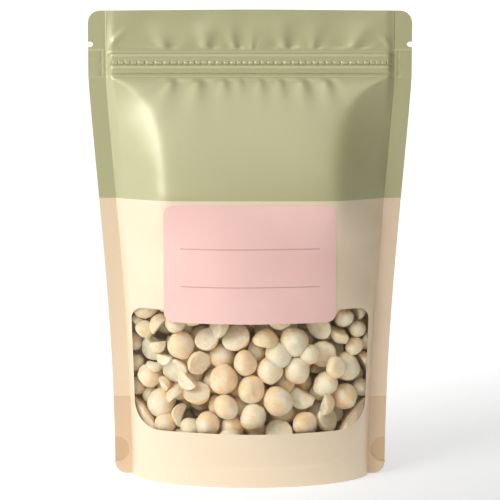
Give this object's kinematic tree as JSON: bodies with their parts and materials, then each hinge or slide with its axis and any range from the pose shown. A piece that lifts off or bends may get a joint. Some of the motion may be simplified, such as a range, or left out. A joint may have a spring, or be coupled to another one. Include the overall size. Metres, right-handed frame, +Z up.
{
  "type": "stand-up pouch of macadamia kernels",
  "caption": "Sealed stand-up zip pouch with a clear window, a plain label and tear notches, standing filled with shelled macadamia kernels.",
  "frame": {"origin": "on the surface the pouch stands on, under the middle of its base", "axes": "+Z up, -Y out of the front with the window, +X to the right seen from the front"},
  "size_m": [0.16, 0.0604, 0.2328],
  "materials": {
    "printed_film": "satin laminate, sage green above and cream below",
    "gusset_film": "satin laminate, tan",
    "clear_film": "clear, glossy",
    "label": "matt paper, pale pink",
    "zip_plastic": "translucent polyethylene",
    "kernel": "waxy cream nut flesh"
  },
  "bodies": {
    "root": {"back_film": "printed_film", "bottom_gusset": "gusset_film", "broken_kernel_01": "kernel", "broken_kernel_02": "kernel", "broken_kernel_03": "kernel", "broken_kernel_04": "kernel", "broken_kernel_05": "kernel", "broken_kernel_06": "kernel", "broken_kernel_07": "kernel", "broken_kernel_08": "kernel", "front_film": "printed_film", "front_label": "label", "half_kernel_01": "kernel", "half_kernel_02": "kernel", "half_kernel_03": "kernel", "half_kernel_04": "kernel", "half_kernel_05": "kernel", "half_kernel_06": "kernel", "half_kernel_07": "kernel", "half_kernel_08": "kernel", "half_kernel_09": "kernel", "half_kernel_10": "kernel", "half_kernel_11": "kernel", "half_kernel_12": "kernel", "half_kernel_13": "kernel", "half_kernel_14": "kernel", "half_kernel_15": "kernel", "half_kernel_16": "kernel", "half_kernel_17": "kernel", "half_kernel_18": "kernel", "half_kernel_19": "kernel", "kernel_filling": "kernel", "whole_kernel_01": "kernel", "whole_kernel_02": "kernel", "whole_kernel_03": "kernel", "whole_kernel_04": "kernel", "whole_kernel_05": "kernel", "whole_kernel_06": "kernel", "whole_kernel_07": "kernel", "whole_kernel_08": "kernel", "whole_kernel_09": "kernel", "whole_kernel_10": "kernel", "whole_kernel_11": "kernel", "whole_kernel_12": "kernel", "whole_kernel_13": "kernel", "whole_kernel_14": "kernel", "whole_kernel_15": "kernel", "whole_kernel_16": "kernel", "whole_kernel_17": "kernel", "whole_kernel_18": "kernel", "whole_kernel_19": "kernel", "whole_kernel_20": "kernel", "whole_kernel_21": "kernel", "whole_kernel_22": "kernel", "whole_kernel_23": "kernel", "window_film": "clear_film", "zip_groove_strip": "zip_plastic", "zip_rib_strip": "zip_plastic"}
  },
  "joints": []
}
